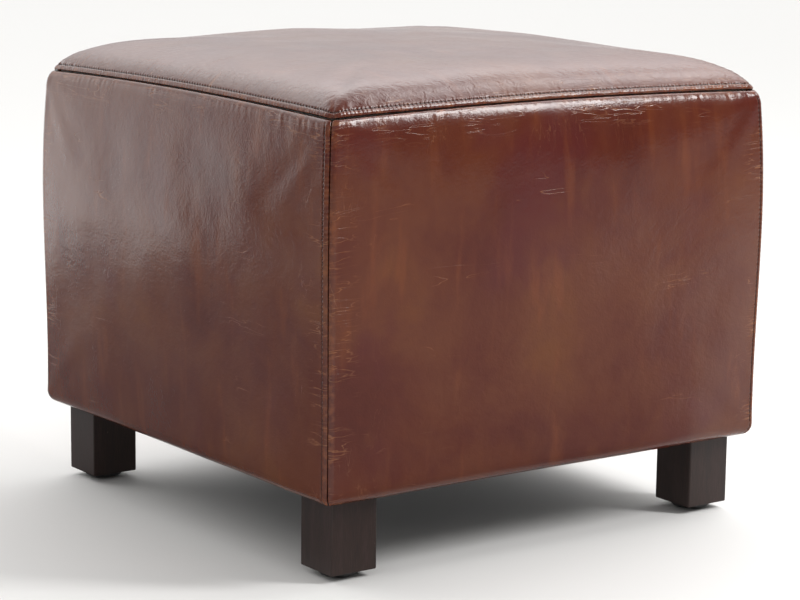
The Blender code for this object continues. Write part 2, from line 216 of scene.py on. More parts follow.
places = 1 - np.linspace(0, 1, 4000) ** 3
climb = np.hypot(np.diff(places) * TOP_HALF, np.diff(top_height(places, 0 * places)))
climb = np.concatenate([[0], np.cumsum(climb)])
TOP_CUT = climb[-1]
print(f"the top panel is cut {2 * TOP_CUT:.3f} m square")


def draw_in(cut):
    """Where a place on the flat panel, from -1 to 1, lands on the stuffed top seen from above."""
    return np.sign(cut) * np.interp((1 - np.abs(cut)) * TOP_CUT, climb, places)


def place_on_top(cut_x, cut_y):
    across, along = draw_in(cut_x), draw_in(cut_y)
    reach = np.maximum(np.maximum(np.abs(across), np.abs(along)), 1e-9)
    edge = np.stack([across, along], axis=-1) / reach[..., None] * TOP_HALF
    inner = TOP_HALF - CORNER_RADIUS
    past = np.maximum(np.abs(edge) - inner, 0)
    in_corner = (past > 0).all(axis=-1)
    length = np.maximum(np.linalg.norm(past, axis=-1, keepdims=True), 1e-9)
    rounded = np.where(in_corner[..., None], inner + CORNER_RADIUS * past / length, np.abs(edge))
    plan = np.sign(edge) * rounded * reach[..., None]
    return np.concatenate([plan, top_height(across, along)[..., None]], axis=-1)


# %% [markdown]
# ## Cutting the leather
#
# Each panel starts as a flat blank, like a piece on the cutting table. A seam needs half-millimetre cells
# and the middle of a panel does not, so the grid is coarse and only its margins are divided, three times.


# %% Flat blanks
def cut_blank(width, height, margins):
    """A flat grid over 0 to width and 0 to height, as points and faces, finer near the named margins."""
    bm = bmesh.new()
    columns, rows = round(width / (5 * MM)), round(height / (5 * MM))
    bmesh.ops.create_grid(bm, x_segments=columns, y_segments=rows, size=0.5)
    for vert in bm.verts:
        vert.co.x = (vert.co.x + 0.5) * width
        vert.co.y = (vert.co.y + 0.5) * height

    def margin(point):
        edges = {"left": point.x, "right": width - point.x, "near": point.y, "far": height - point.y}
        return min(edges[name] for name in margins)

    for reach in (15 * MM, 10 * MM, 8 * MM):
        fine = [edge for edge in bm.edges if margin((edge.verts[0].co + edge.verts[1].co) / 2) < reach]
        bmesh.ops.subdivide_edges(bm, edges=fine, cuts=1, use_grid_fill=True)
    bm.verts.ensure_lookup_table()
    bm.verts.index_update()
    points = np.array([vert.co[:2] for vert in bm.verts])
    faces = [[vert.index for vert in face.verts] for face in bm.faces]
    bm.free()
    return points, faces


TOP_BLANK = cut_blank(2 * TOP_CUT, 2 * TOP_CUT, ("left", "right", "near", "far"))
SIDE_BLANK = cut_blank(PANEL_WIDTH, PANEL_HEIGHT, ("left", "right", "near"))
SIDE_BLANK = (SIDE_BLANK[0], [face[::-1] for face in SIDE_BLANK[1]])
print(f"top blank {len(TOP_BLANK[1])} faces, side blank {len(SIDE_BLANK[1])} faces")

# %% [markdown]
# ## Small helpers for meshes
#
# Pieces could be modelled by hand in edit mode. Here each is made from arrays of points, because every one
# follows the same form. A few functions make a mesh, link it, move its points along its normals, turn a
# front piece to another side and lay out a regular grid.


# %% Mesh helpers
def make_mesh(name, points, faces):
    mesh = bpy.data.meshes.new(name)
    mesh.from_pydata(points.tolist(), [], faces)
    mesh.update()
    return mesh


def link_object(name, mesh):
    made = bpy.data.objects.new(name, mesh)
    bpy.context.scene.collection.objects.link(made)
    return made


def push_out(points, faces, heights):
    """The points moved along the surface's own normals."""
    mesh = make_mesh("pushed", points, faces)
    normals = np.zeros(len(points) * 3, np.float32)
    mesh.vertex_normals.foreach_get("vector", normals)
    bpy.data.meshes.remove(mesh)
    return points + normals.reshape(-1, 3) * heights[:, None]


def turned_to(side, points):
    angle = SIDES.index(side) * np.pi / 2
    cosine, sine = np.cos(angle), np.sin(angle)
    x, y = points[..., 0], points[..., 1]
    return np.stack([x * cosine - y * sine, x * sine + y * cosine, points[..., 2]], axis=-1)


def regular_grid(low_corner, high_corner, cell):
    """A grid between two corners, in cells of about one size: flat points, faces and point numbers."""
    columns = round((high_corner[0] - low_corner[0]) / cell)
    rows = round((high_corner[1] - low_corner[1]) / cell)
    across = np.linspace(low_corner[0], high_corner[0], columns + 1)
    along = np.linspace(low_corner[1], high_corner[1], rows + 1)
    x, y = np.meshgrid(across, along)
    index = np.arange(x.size).reshape(rows + 1, columns + 1)
    corners = [index[:-1, :-1], index[:-1, 1:], index[1:, 1:], index[1:, :-1]]
    quads = np.stack(corners, axis=-1).reshape(-1, 4)
    return np.column_stack([x.ravel(), y.ravel()]), quads, index


# %% [markdown]
# ## Stuffing the cover
#
# Leather that is sewn to a slightly shorter thread gathers along its seams, and stuffing pushes it out
# between them. That is a job for a cloth simulation: five coarse panels, held along their joins, a little
# longer than the line that holds them, with pressure behind. Only the uneven part of the movement is kept,
# capped at a few millimetres, and the fine panels take it up later. So the seams stay sharp, which a
# simulated or remeshed seam would not.

# %% Coarse panels
PANEL_SIZES = [(2 * TOP_CUT, 2 * TOP_CUT)] + [(PANEL_WIDTH, PANEL_HEIGHT)] * 4
CLOTH_CELL = 6.5 * MM
MOST_MOVE = 2.5 * MM
SWELL_SMOOTHING = 26 * MM
GATHER_SHARE = 0.45
SEAM_SLACK = 0.02
SLACK_REACH = 28 * MM
STUFFING_PRESSURE = 2.0
STUFFING_FRAMES = 24


def plain_surface(number, flat):
    """The smooth form of panel 0, the top, or 1 to 4, the sides, at flat cutting coordinates."""
    if number == 0:
        cut = (flat / TOP_CUT - 1) * (1 - JOIN_GAP / TOP_CUT)
        return place_on_top(cut[:, 0], cut[:, 1])
    across = (flat[:, 0] / PANEL_WIDTH * 2 - 1) * (1 - 2 * JOIN_GAP / PANEL_WIDTH)
    return turned_to(SIDES[number - 1], place_on_side(across, np.maximum(flat[:, 1], JOIN_GAP)))


def coarse_panel(number):
    flat, quads, index = regular_grid((0, 0), PANEL_SIZES[number], CLOTH_CELL)
    return flat, quads if number == 0 else quads[:, ::-1], index.shape


def hold_of(number, flat):
    """Distance to the nearest held edge of a coarse panel."""
    width, height = PANEL_SIZES[number]
    sideways = np.minimum(flat[:, 0], width - flat[:, 0])
    last = height - flat[:, 1] if number == 0 else np.maximum(height - TURN_UNDER + 6 * MM - flat[:, 1], 0)
    return np.minimum(sideways, np.minimum(flat[:, 1], last))


# %% Cloth simulation
def run_cloth(points, faces, pressure, frames, held=None, slack=None):
    """The points after a run of the cloth simulation, blown up by an even pressure with no gravity."""
    piece = link_object("cloth", make_mesh("cloth", points, faces))
    cloth = piece.modifiers.new("cloth", "CLOTH")
    settings = cloth.settings
    settings.quality = 6
    settings.mass = 0.4
    settings.air_damping = 6
    settings.tension_stiffness = settings.compression_stiffness = settings.shear_stiffness = 40
    settings.bending_stiffness = 1.5
    settings.effector_weights.gravity = 0
    settings.use_pressure = True
    settings.uniform_pressure_force = pressure
    if held is not None:
        piece.vertex_groups.new(name="held").add(np.flatnonzero(held).tolist(), 1.0, "REPLACE")
        settings.vertex_group_mass = "held"
        group = piece.vertex_groups.new(name="slack")
        for index, value in enumerate(slack):
            group.add([index], float(value), "REPLACE")
        settings.vertex_group_shrink = "slack"
        settings.shrink_min = 0
        settings.shrink_max = -SEAM_SLACK
    for frame_number in range(1, frames + 1):
        bpy.context.scene.frame_set(frame_number)
    evaluated = piece.evaluated_get(bpy.context.evaluated_depsgraph_get())
    result = np.zeros(len(points) * 3, np.float32)
    evaluated.data.vertices.foreach_get("co", result)
    bpy.data.objects.remove(piece)
    bpy.context.scene.frame_set(1)
    return result.reshape(-1, 3).astype(float)


# %% [markdown]
# Gathers are the short, uneven folds that a seam draws up. The even swell is already in the form, so a
# smoothed copy of the movement is taken off it, and the gathers are what is left. They are read back at any
# place through smooth splines, so no coarse cell shows.


# %% Gathers
def gathers(field):
    """The uneven part of a panel's movement, capped. The form already has the even swell."""
    slow = field.copy()
    reach = round(SWELL_SMOOTHING / CLOTH_CELL)
    for axis in (0, 1):
        rim = [(reach, reach) if other == axis else (0, 0) for other in range(3)]
        for _ in range(3):
            padded = np.pad(slow, rim, mode="edge")
            starts = range(2 * reach + 1)
            parts = [np.take(padded, range(i, i + slow.shape[axis]), axis=axis) for i in starts]
            slow = sum(parts) / len(parts)
    quick_part = (field - slow) * GATHER_SHARE
    length = np.linalg.norm(quick_part, axis=2, keepdims=True)
    print(f"gathers: {length.mean() / MM:.2f} mm on average, {length.max() / MM:.1f} mm at most")
    return quick_part * np.minimum(1, MOST_MOVE / np.maximum(length, 1e-9))


def simulate_stuffing():
    """How far each point of the coarse panels moves, as one grid of vectors for each panel."""
    flats, points, quads, shapes = [], [], [], []
    for number in range(5):
        flat, faces, shape = coarse_panel(number)
        quads += (faces + sum(map(len, points))).tolist()
        points.append(plain_surface(number, flat))
        flats.append(flat)
        shapes.append(shape)
    start = np.concatenate(points)
    moved = np.zeros_like(start)
    hold = np.concatenate([hold_of(number, flats[number]) for number in range(5)])
    slack = np.exp(-hold / SLACK_REACH)
    moved = run_cloth(start, quads, STUFFING_PRESSURE, STUFFING_FRAMES, hold < 1 * MM, slack) - start
    ends = np.cumsum([len(flat) for flat in flats])[:-1]
    return [gathers(part.reshape(*shape, 3)) for part, shape in zip(np.split(moved, ends), shapes)]


def spline_weights(share):
    return (
        (1 - share) ** 3 / 6,
        (3 * share**3 - 6 * share**2 + 4) / 6,
        (-3 * share**3 + 3 * share**2 + 3 * share + 1) / 6,
        share**3 / 6,
    )


def stuffing_move(number, flat):
    """The simulated movement at any flat coordinates, as a smooth surface through the coarse points."""
    field = FIELDS[number]
    rows, columns = field.shape[:2]
    width, height = PANEL_SIZES[number]
    x = np.clip(flat[:, 0] / width, 0, 1) * (columns - 1)
    y = np.clip(flat[:, 1] / height, 0, 1) * (rows - 1)
    left, low = np.floor(x).astype(int), np.floor(y).astype(int)
    total = np.zeros((len(flat), 3))
    for row, row_weight in enumerate(spline_weights(y - low)):
        for column, column_weight in enumerate(spline_weights(x - left)):
            at = field[np.clip(low + row - 1, 0, rows - 1), np.clip(left + column - 1, 0, columns - 1)]
            total += at * (row_weight * column_weight)[:, None]
    return total


FIELDS = simulate_stuffing()


def form(number, flat):
    """The stuffed form of a panel, before its seams are drawn in."""
    return plain_surface(number, flat) + stuffing_move(number, flat)


# %% [markdown]
# ## Sewing
#
# The panels are joined face to face and turned, so each join is a valley with a rolled edge on both sides.
# On one side the allowance is folded back and topstitched 5.5 mm from the join, which leaves a raised band
# and a fine groove. Closing stitches pull the join into small scallops, one for each stitch.


# %% Seam relief
def join_relief(distance, along):
    """Height of the leather near a join, by the distance from it and the place along it."""
    pull = 1 + 0.3 * np.cos(2 * np.pi * along / STITCH_PITCH)
    return -1.1 * MM * pull * np.exp(-distance / (0.5 * MM)) - 0.2 * MM * np.exp(-distance / (2.2 * MM))


def band_relief(distance, along):
    """A topstitched band beside a join, and the groove at its edge."""
    raised = np.sin(np.pi * np.clip(distance / BAND, 0, 1)) ** 0.8
    wave = np.cos(2 * np.pi * along / STITCH_PITCH)
    groove = groove_mask(distance)
    ribs = -0.09 * MM * wave * np.exp(-(((distance - BAND) / (3.2 * MM)) ** 2))
    return 0.3 * MM * raised - 0.6 * MM * (1 + 0.35 * wave) * groove + ribs


def groove_mask(distance):
    return np.exp(-(((distance - BAND) / (0.65 * MM)) ** 2))


PUCKER_PITCH = 3.6 * MM
SLOW_SWELL = 0.42


def puckers(distance, along, strength, seed):
    """Short gathers that a row of stitches draws up in the leather, fading away from the seam."""
    knots = np.arange(0, 0.62, PUCKER_PITCH)
    rng = np.random.default_rng(seed)
    patches = np.interp(knots, np.arange(0, 0.7, 45 * MM), rng.uniform(0, 1, 16) ** 1.5)
    heights = rng.normal(0, 1, len(knots)) * patches
    reach = rng.uniform(9, 26, len(knots)) * MM
    slant = rng.uniform(-0.25, 0.25)
    place = along + slant * distance + 0.05
    index = np.clip((place / PUCKER_PITCH).astype(int), 0, len(knots) - 2)
    share = smooth_step(0, 1, place / PUCKER_PITCH - index)
    height = heights[index] * (1 - share) + heights[index + 1] * share
    length = reach[index] * (1 - share) + reach[index + 1] * share
    rise = smooth_step(1.5 * MM, 6 * MM, distance)
    return 0.26 * MM * strength * height * rise * np.exp(-np.maximum(distance - 6 * MM, 0) / length)


def undulation(flat, seed):
    """The slow, uneven swell of leather over hand-laid stuffing, as a sum of long waves."""
    rng = np.random.default_rng(seed)
    total = np.zeros(len(flat))
    for wavelength, size in ((260, 0.9), (190, 0.7), (140, 0.5), (100, 0.33), (75, 0.2), (55, 0.12)):
        for _ in range(2):
            angle, phase = rng.uniform(0, 2 * np.pi, 2)
            direction = np.array([np.cos(angle), np.sin(angle)])
            total += size * MM * np.sin(flat @ direction * 2 * np.pi / (wavelength * MM) + phase)
    return SLOW_SWELL * total


# Each panel's pattern starts this far from the last one's, so no two panels look alike.
HIDE_SPACING = 1.7


def make_panel(name, points, faces, flat, distance, groove, number):
    """A leather panel with its thickness. Its flat cutting coordinates and its seams are attributes."""
    mesh = make_mesh(name, points, faces)
    cut = np.column_stack([flat, np.full(len(flat), number * HIDE_SPACING)])
    attribute = mesh.attributes.new("cut", "FLOAT_VECTOR", "POINT")
    attribute.data.foreach_set("vector", cut.astype(np.float32).ravel())
    for key, values in (("seam", distance), ("groove", groove)):
        attribute = mesh.attributes.new(key, "FLOAT", "POINT")
        attribute.data.foreach_set("value", values.astype(np.float32))
    mesh.shade_smooth()
    panel = link_object(name, mesh)
    thickness = panel.modifiers.new("thickness", "SOLIDIFY")
    thickness.thickness = LEATHER
    thickness.offset = -1
    return panel


# %% [markdown]
# The top panel has its band along all four edges, and the band stops short of each corner, where three
# panels meet. Its puckers are strongest near the corners, where the leather is eased round. The relief is
# pushed into the fine mesh itself, because a bump in the material would not change the outline.


# %% Sew the top
def sew_top():
    flat, faces = TOP_BLANK
    points = form(0, flat)
    inward = TOP_CUT - np.abs(flat - TOP_CUT)
    distance = inward.min(axis=1)
    along = np.where(inward[:, 0] < inward[:, 1], flat[:, 1], flat[:, 0])
    near_corner = np.exp(-np.linalg.norm(inward, axis=1) / (70 * MM))
    off_corner = smooth_step(1 * MM, 10 * MM, inward.max(axis=1))
    heights = join_relief(distance, along) + band_relief(distance, along) * off_corner
    heights += puckers(distance, along, 0.15 + 1.3 * near_corner, 31)
    heights += undulation(flat, 5) * smooth_step(5 * MM, 60 * MM, distance)
    points = push_out(points, faces, heights)
    return make_panel("leather_top_panel", points, faces, flat, distance, groove_mask(distance), 0)


# %% [markdown]
# A side panel is banded only along its right-hand join, so each corner has one band. Its bottom edge turns
# under the frame and lies flat there, held just above the dust cover. All four sides are cut alike, but each
# has its own puckers and swell, as hand-laid stuffing gives.


# %% Sew the sides
def sew_side(side):
    flat, faces = SIDE_BLANK
    number = SIDES.index(side) + 1
    down = np.maximum(flat[:, 1], JOIN_GAP)
    points = form(number, flat)
    to_left, to_right = flat[:, 0], PANEL_WIDTH - flat[:, 0]
    to_join = np.minimum(to_left, to_right)
    fold = PANEL_HEIGHT - TURN_UNDER
    turned_under = smooth_step(fold - 8 * MM, fold + 8 * MM, down)
    banded = (1 - turned_under) * smooth_step(2 * MM, 6 * MM, down)
    band = band_relief(to_right, down) * banded
    heights = join_relief(down, flat[:, 0]) + join_relief(to_join, down) * (1 - turned_under) + band
    near_corner = np.exp(-np.hypot(to_join, down) / (70 * MM))
    heights += puckers(down, flat[:, 0], 0.35 + 0.5 * near_corner, 40 + number)
    heights += puckers(to_join, down, 0.3 * (1 - turned_under), 50 + number)
    inside = np.minimum(to_join, down)
    calm = smooth_step(5 * MM, 60 * MM, inside) * (1 - turned_under)
    heights += undulation(flat, 10 + number) * calm
    heights += puckers(np.abs(fold - down), flat[:, 0], 0.5, 60 + number) * (1 - turned_under)
    points = push_out(points, faces, heights)
    lifted = np.maximum(points[:, 2], BODY_BOTTOM - 0.4 * MM)
    points[:, 2] = np.where(turned_under > 0.5, lifted, points[:, 2])
    groove = groove_mask(to_right) * banded
    return make_panel(f"leather_{side}_panel", points, faces, flat, inside, groove, number)


top_panel = sew_top()
side_panels = {side: sew_side(side) for side in SIDES}
for panel in (top_panel, *side_panels.values()):
    mean = sum(face.normal.dot(face.center - Vector((0, 0, 0.22))) for face in panel.data.polygons)
    print(panel.name, len(panel.data.polygons), "faces", "out" if mean > 0 else "in")

# %% [markdown]
# ## Materials
#
# Every finish is a Principled shader with a few procedural nodes. They could be laid out by hand in the
# shader editor. Here one function adds a node of any kind with its settings and links, so that a finish
# reads from top to bottom.


# %% Material helper
def feed(tree, socket, value):
    """Links an output to a socket, or sets the socket itself to a plain value."""
    if isinstance(value, bpy.types.NodeSocket):
        tree.links.new(value, socket)
    else:
        socket.default_value = value


def add_node(tree, kind, inputs=None, output=None, second=None, stops=None, **settings):
    """Adds a shader node and returns the output that feeds the next one. An input is a value or an output.

    The second operand of a math node shares its name with the first, so it has its own argument.
    """
    made = tree.nodes.new("ShaderNode" + kind)
    for name, value in settings.items():
        setattr(made, name, value)
    named = {}
    for socket in made.inputs:
        if socket.enabled:
            named.setdefault(socket.name, socket)
    for name, value in (inputs or {}).items():
        feed(tree, named[name], value)
    if second is not None:
        feed(tree, made.inputs[1], second)
    for place, (position, colour) in enumerate(stops or ()):
        elements = made.color_ramp.elements
        stop = elements[place] if place < 2 else elements.new(position)
        stop.position = position
        stop.color = colour
    outputs = [socket for socket in made.outputs if socket.enabled]
    return next((socket for socket in outputs if socket.name == output), outputs[0])


def new_material(name):
    material = bpy.data.materials.new(name)
    material.use_nodes = True
    return material, material.node_tree


def finish_shader(material, values):
    """Feeds the Principled shader of a material by the names of its sockets."""
    tree = material.node_tree
    for name, value in values.items():
        feed(tree, tree.nodes["Principled BSDF"].inputs[name], value)
    return material


def one_pattern_finish(name, shade, colours, relief, bump, values):
    """A finish whose shade gives its colour and whose relief, often the same pattern, gives its bump.

    A pattern is a texture node, its inputs and its settings. The bump is a strength and a depth in metres.
    """
    material, tree = new_material(name)
    place = add_node(tree, "TexCoord", output="Object")
    kind, inputs, settings = shade
    shaded = add_node(tree, kind, {"Vector": place, **inputs}, **settings)
    raised = shaded
    if relief:
        kind, inputs, settings = relief
        raised = add_node(tree, kind, {"Vector": place, **inputs}, **settings)
    stops = [(position, srgb(code)) for position, code in colours]
    colour = add_node(tree, "ValToRGB", {"Fac": shaded}, stops=stops)
    strength, depth = bump
    surface = add_node(tree, "Bump", {"Height": raised, "Strength": strength, "Distance": depth})
    return finish_shader(material, {"Base Color": colour, "Normal": surface, **values})


# %% [markdown]
# ## Waxed cowhide
#
# Pull-up leather: aniline dye laid on by hand over a full grain, then hot wax. The dye gives patches from
# plum to tan. The wax gives the sheen, and cracks into fine pale lines where the hide is folded into a seam.
# All of it is drawn in the flat coordinates of the cut panels, so nothing stretches over the rolled edges.


# %% Dye
def hide_dye(tree, cut, seam, groove, cracks):
    """Dye patches from 150 mm down to a few millimetres, with the wear, the dark wax of the seams, and painted
    shade in the stitch grooves.
    """
    broad = {"Vector": cut, "Scale": 8.0, "Detail": 7.0, "Roughness": 0.6, "Distortion": 0.5}
    broad = add_node(tree, "TexNoise", broad)
    stops = (
        (0.30, srgb("#471910")),
        (0.72, srgb("#613418")),
        (0.44, srgb("#502014")),
        (0.54, srgb("#562716")),
        (0.63, srgb("#5b2d19")),
    )
    dye = add_node(tree, "ValToRGB", {"Fac": broad}, stops=stops)
    # Small brown patches, larger plum ones, and upright streaks where the dye ran.
    for scale, detail, (low, high), strength, colour in (
        ((30, 19, 9), 5.0, (0.48, 0.74), 0.6, "#5b2d19"),
        ((13, 10, 5), 3.0, (0.54, 0.76), 0.7, "#4e1c1c"),
        ((62, 11, 9), 5.0, (0.54, 0.80), 0.30, "#7a411f"),
    ):
        place = add_node(tree, "Mapping", {"Vector": cut, "Scale": scale})
        noise = add_node(tree, "TexNoise", {"Vector": place, "Scale": 1.0, "Detail": detail})
        span = {"Value": noise, "From Min": low, "From Max": high, "To Max": strength}
        share = add_node(tree, "MapRange", span, interpolation_type="SMOOTHSTEP")
        dye = add_node(tree, "Mix", {"Factor": share, "A": dye, "B": srgb(colour)}, data_type="RGBA")

    worn = add_node(tree, "TexNoise", {"Vector": cut, "Scale": 150.0, "Detail": 4.0})
    worn = add_node(tree, "MapRange", {"Value": worn, "From Min": 0.46, "From Max": 0.66, "To Max": 0.4})
    rolled_edge = {"Value": seam, "From Min": 0.0075, "From Max": 0.0025}
    rolled_edge = add_node(tree, "MapRange", rolled_edge, interpolation_type="SMOOTHSTEP")
    worn = add_node(tree, "Math", {"Value": worn}, second=rolled_edge, operation="MULTIPLY")
    crack_share = add_node(tree, "Math", {"Value": cracks}, second=0.42, operation="MULTIPLY")
    join_share = add_node(tree, "MapRange", {"Value": seam, "From Min": 0.0006, "From Max": 0.0001})
    # The topstitch groove is darkened: partly its dark wax, partly painted shade of the thread and the groove.
    groove_wax_and_shade = add_node(tree, "Math", {"Value": groove}, second=0.75, operation="MULTIPLY")
    for share, colour in (
        (crack_share, "#a5714c"),
        (worn, "#8c4f2a"),
        (join_share, "#240f0a"),
        (groove_wax_and_shade, "#2c130c"),
    ):
        dye = add_node(tree, "Mix", {"Factor": share, "A": dye, "B": srgb(colour)}, data_type="RGBA")
    return dye


# %% [markdown]
# Wax that is folded cracks in fine lines along the fold. Cell noise would give scales, and real cracks run
# on, so each line follows the middle value of a stretched noise, as a contour line follows a slope.


# %% Cracks in the wax
def wax_cracks(tree, cut, seam):
    """Fine wavy lines, each where a stretched noise passes through its middle value.

    The first set runs along the seam and keeps close to it, the second runs down from it, and the third is
    a few longer lines further down.
    """
    cracks = None
    for scale, width, strength, patches, (low, high), (near, far_away) in (
        ((24, 190, 4), 0.024, 0.9, (20, 34, 4), (0.44, 0.60), (0.006, 0.032)),
        ((170, 42, 7), 0.018, 0.5, (30, 18, 7), (0.54, 0.70), (0.016, 0.060)),
        ((12, 80, 11), 0.008, 0.8, (17, 26, 11), (0.58, 0.70), (0.100, 0.180)),
    ):
        place = add_node(tree, "Mapping", {"Vector": cut, "Scale": scale})
        wave = {"Vector": place, "Scale": 1.0, "Detail": 2.0, "Roughness": 0.5, "Distortion": 0.5}
        wave = add_node(tree, "TexNoise", wave)
        off_line = add_node(tree, "Math", {"Value": wave}, second=0.5, operation="SUBTRACT")
        off_line = add_node(tree, "Math", {"Value": off_line}, operation="ABSOLUTE")
        line = {"Value": off_line, "From Min": width, "From Max": 0.0, "To Max": strength}
        line = add_node(tree, "MapRange", line, interpolation_type="SMOOTHSTEP")
        place = add_node(tree, "Mapping", {"Vector": cut, "Scale": patches})
        patch = add_node(tree, "TexNoise", {"Vector": place, "Scale": 1.0, "Detail": 3.0})
        patch = {"Value": patch, "From Min": low, "From Max": high}
        patch = add_node(tree, "MapRange", patch, interpolation_type="SMOOTHSTEP")
        fade = {"Value": seam, "From Min": far_away, "From Max": near}
        fade = add_node(tree, "MapRange", fade, interpolation_type="SMOOTHSTEP")
        line = add_node(tree, "Math", {"Value": line}, second=patch, operation="MULTIPLY")
        line = add_node(tree, "Math", {"Value": line}, second=fade, operation="MULTIPLY")
        if cracks:
            line = add_node(tree, "Math", {"Value": cracks}, second=line, operation="MAXIMUM")
        cracks = line
    return cracks


# %% [markdown]
# The grain of the hide is layered: slow unevenness, wrinkles, sunken cracks and pores. The top is less
# tightly pulled than the sides, so it keeps more of its wrinkles. The gloss varies slowly, as hands have
# polished it. Pores are too fine to model, so all of this is bump.


# %% Relief of the hide
def hide_relief(tree, cut, cracks):
    """Slow unevenness, wrinkles, sunken cracks, and pores drawn at 1.6 mm so that they show."""
    panel = add_node(tree, "SeparateXYZ", {"Vector": cut}, output="Z")
    loose = {"Value": panel, "From Min": 0.5, "From Max": 0.6, "To Min": 1.0, "To Max": 0.3}
    loose = add_node(tree, "MapRange", loose)
    slow = add_node(tree, "TexNoise", {"Vector": cut, "Scale": 34.0, "Detail": 2.0})
    wrinkle = add_node(tree, "TexNoise", {"Vector": cut, "Scale": 120.0, "Detail": 4.0, "Distortion": 1.0})
    wrinkle = add_node(tree, "Math", {"Value": wrinkle}, second=loose, operation="MULTIPLY")
    pores = add_node(tree, "TexVoronoi", {"Vector": cut, "Scale": 620.0}, feature="SMOOTH_F1")
    sunken = add_node(tree, "Math", {"Value": cracks}, second=-1.0, operation="MULTIPLY")
    surface = add_node(tree, "Bump", {"Height": slow, "Strength": 1.0, "Distance": 0.0004})
    for height, depth in ((wrinkle, 0.00050), (sunken, 0.00012), (pores, 0.00006)):
        layer = {"Height": height, "Strength": 1.0, "Distance": depth, "Normal": surface}
        surface = add_node(tree, "Bump", layer)
    return surface


def waxed_cowhide():
    """The whole hide: dye, cracks, relief and a wax gloss that varies slowly."""
    material, tree = new_material("waxed_cowhide")
    cut = add_node(tree, "Attribute", attribute_name="cut", output="Vector")
    seam = add_node(tree, "Attribute", attribute_name="seam", output="Fac")
    groove = add_node(tree, "Attribute", attribute_name="groove", output="Fac")
    cracks = wax_cracks(tree, cut, seam)
    polish = add_node(tree, "TexNoise", {"Vector": cut, "Scale": 26.0, "Detail": 5.0})
    span = {"Value": polish, "From Min": 0.3, "From Max": 0.7, "To Min": 0.16, "To Max": 0.23}
    values = {
        "Base Color": hide_dye(tree, cut, seam, groove, cracks),
        "Roughness": add_node(tree, "MapRange", span),
        "Normal": hide_relief(tree, cut, cracks),
        "IOR": 1.40,
    }
    return finish_shader(material, values)


leather = waxed_cowhide()
print(f"{leather.name}: {len(leather.node_tree.nodes)} nodes")
for panel in (top_panel, *side_panels.values()):
    panel.data.materials.append(leather)
    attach(panel, "root")
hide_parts("leather_top")
for side, panel in side_panels.items():
    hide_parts(f"leather_{side}")


# %% [markdown]
# ## Topstitching
#
# The thread of a topstitch shows as short bars with both ends pulled into the needle holes. They could be
# painted on. Each is a small bent capsule laid in the groove instead, so the row catches light as real
# thread does. The same function later makes the staples.

# %% Stitches
THREAD = 0.5 * MM


def on_panel(number, flat, lift):
    """Places at flat coordinates with the surface's directions there: point, along x, along y, outwards."""
    step = 0.3 * MM
    here = form(number, flat)
    east = form(number, flat + [step, 0]) - form(number, flat - [step, 0])
    south = form(number, flat + [0, step]) - form(number, flat - [0, step])
    east /= np.linalg.norm(east, axis=1, keepdims=True)
    south /= np.linalg.norm(south, axis=1, keepdims=True)
    out = np.cross(east, south)
    out /= np.linalg.norm(out, axis=1, keepdims=True)
    if number:
        out = -out
    return here + out * np.reshape(lift, (-1, 1)), east, south, out


def bars(name, centres, along, out, length, width, bend, rings=7, sides=6):
    """One mesh of many small bent capsules."""
    place = np.linspace(-1, 1, rings)
    turn = np.linspace(0, 2 * np.pi, sides, endpoint=False)
    radius = width / 2 * np.maximum(1 - place**4, 0.02) ** 0.5
    across = np.cross(along, out)
    ring = place[:, None] * length / 2 + 0 * turn
    lift = (bend * (0.35 - place**2))[:, None] + radius[:, None] * np.sin(turn)
    aside = radius[:, None] * np.cos(turn)
    points = centres[:, None, None] + ring[..., None] * along[:, None, None]
    points = points + lift[..., None] * out[:, None, None] + aside[..., None] * across[:, None, None]
    points = points.reshape(-1, 3)
    faces = []
    for start in range(0, len(points), rings * sides):
        for r in range(rings - 1):
            for t in range(sides):
                a, b = start + r * sides + t, start + r * sides + (t + 1) % sides
                faces.append((a, b, b + sides, a + sides))
        faces.append(tuple(range(start, start + sides))[::-1])
        faces.append(tuple(range(start + (rings - 1) * sides, start + rings * sides)))
    mesh = make_mesh(name, points, faces)
    mesh.shade_smooth()
    return link_object(name, mesh)


def sew_stitches(name, number, flat, direction, lift):
    place, east, south, out = on_panel(number, flat, lift)
    along = east * direction[0] + south * direction[1]
    made = bars(name, place, along, out, 3.3 * MM, THREAD, 0.35 * MM)
    made.data.materials.append(thread_material)
    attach(made, "root")
    return made


# Waxed, bonded polyester thread: a dark strand with a slight gloss. Its three-ply twist is drawn coarser
# than it is, so that it shows.
thread_material = one_pattern_finish(
    "sewing_thread",
    ("TexWave", {"Scale": 900.0, "Distortion": 1.5}, {"bands_direction": "DIAGONAL"}),
    ((0.2, "#180a06"), (0.8, "#321a12")),
    None,
    (0.6, 0.0001),
    {"Roughness": 0.85, "Specular IOR Level": 0.25},
)
GROOVE_DEPTH = -0.45 * MM
stitch_count = round(2 * TOP_CUT / STITCH_PITCH) - 3
run = (np.arange(stitch_count) + 2) * STITCH_PITCH - STITCH_PITCH / 2
far = 2 * TOP_CUT - BAND
top_rows = {
    "front": (np.column_stack([run, 0 * run + BAND]), (1, 0)),
    "right": (np.column_stack([0 * run + far, run]), (0, 1)),
    "back": (np.column_stack([run, 0 * run + far]), (1, 0)),
    "left": (np.column_stack([0 * run + BAND, run]), (0, 1)),
}
for side, (flat, direction) in top_rows.items():
    sew_stitches(f"top_stitches_{side}", 0, flat, direction, GROOVE_DEPTH)
down_run = np.arange(8 * MM, PANEL_HEIGHT - TURN_UNDER - 14 * MM, STITCH_PITCH)
down_run = (np.round(down_run / STITCH_PITCH) + 0.5) * STITCH_PITCH
for number, side in enumerate(SIDES, 1):
    flat = np.column_stack([0 * down_run + PANEL_WIDTH - BAND, down_run])
    sew_stitches(f"corner_stitches_{side}", number, flat, (0, 1), GROOVE_DEPTH)
print(f"{4 * (len(run) + len(down_run))} stitches")

